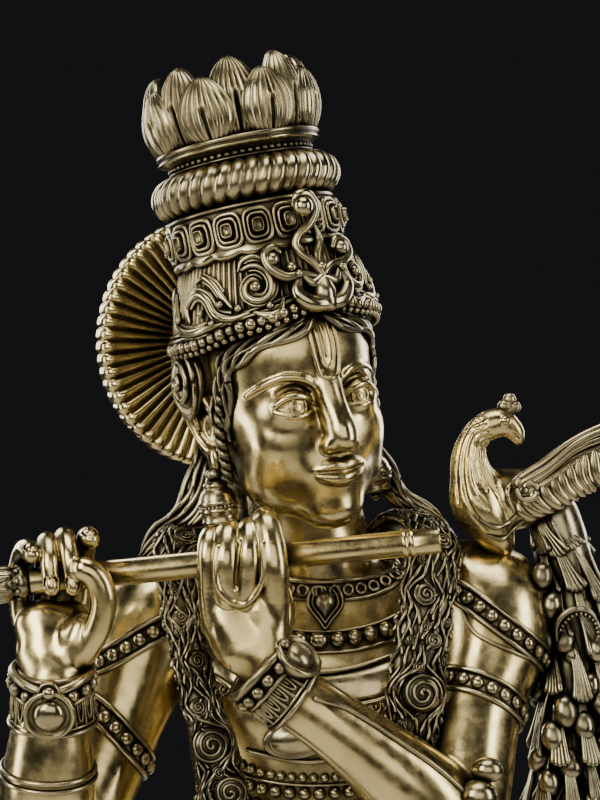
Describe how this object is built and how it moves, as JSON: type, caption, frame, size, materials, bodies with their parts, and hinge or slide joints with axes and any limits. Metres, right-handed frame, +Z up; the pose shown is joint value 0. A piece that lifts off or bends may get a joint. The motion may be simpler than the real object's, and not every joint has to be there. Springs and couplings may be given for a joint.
{
  "type": "hindu deity statue",
  "caption": "Cast brass statue of a flute-playing deity with lotus crown, ribbed halo disc, flower garland and shoulder peacock, standing cross-legged on a round lotus base.",
  "frame": {"origin": "centre of the flat underside of the round base", "axes": "+Z up, the figure faces -Y, +X is the figure's left"},
  "size_m": [0.3009, 0.223, 0.9007],
  "materials": {
    "polished_brass": "polished brass with darker lacquer in the recesses",
    "antique_brass": "antique brass, dark patina in the recesses and rubbed high spots",
    "dark_brass": "heavily patinated brass with rubbed high spots",
    "steel": "plain steel"
  },
  "bodies": {
    "statue": {"armlet_left": "antique_brass", "armlet_right": "antique_brass", "bracelet_left": "antique_brass", "bracelet_right": "antique_brass", "browband": "antique_brass", "crest": "antique_brass", "crown_band": "antique_brass", "crown_lotus": "antique_brass", "crown_ring": "antique_brass", "dhoti_pleats": "antique_brass", "earring_left": "antique_brass", "earring_right": "antique_brass", "foot_left": "polished_brass", "foot_right": "polished_brass", "forearm_left": "polished_brass", "forearm_right": "polished_brass", "garland_loop": "dark_brass", "garland_strand_left": "dark_brass", "garland_strand_right": "dark_brass", "hair_back": "dark_brass", "hair_cap": "antique_brass", "hair_lock_left": "dark_brass", "hair_lock_right": "dark_brass", "hand_left": "polished_brass", "hand_right": "polished_brass", "head": "polished_brass", "hip_sash": "dark_brass", "hips": "antique_brass", "leg_left": "antique_brass", "leg_right": "antique_brass", "lotus_lower": "antique_brass", "lotus_upper": "antique_brass", "neck": "polished_brass", "necklace_lower": "antique_brass", "necklace_middle": "antique_brass", "necklace_upper": "antique_brass", "nut_left": "steel", "nut_right": "steel", "peacock_body": "polished_brass", "peacock_head": "polished_brass", "peacock_peg": "steel", "peacock_tail": "dark_brass", "peacock_wing": "polished_brass", "plinth": "antique_brass", "sash_end_left": "dark_brass", "sash_end_right": "dark_brass", "shoulder_band_left": "antique_brass", "shoulder_band_right": "antique_brass", "stud_left": "steel", "stud_right": "steel", "torso": "polished_brass", "upper_arm_left": "polished_brass", "upper_arm_right": "polished_brass", "waist_belt": "antique_brass"},
    "flute": {"flute_finial": "antique_brass", "flute_tube": "polished_brass"},
    "halo": {"halo_disc": "antique_brass", "halo_pin": "steel"}
  },
  "joints": [
    {"name": "flute_slide", "type": "slide", "parent": "statue", "child": "flute", "axis": [-0.9949, 0, -0.101], "range_m": [0, 0.145]},
    {"name": "halo_slide", "type": "slide", "parent": "statue", "child": "halo", "axis": [-0.4757, 0.8796, 0.0005], "range_m": [0, 0.02]}
  ]
}
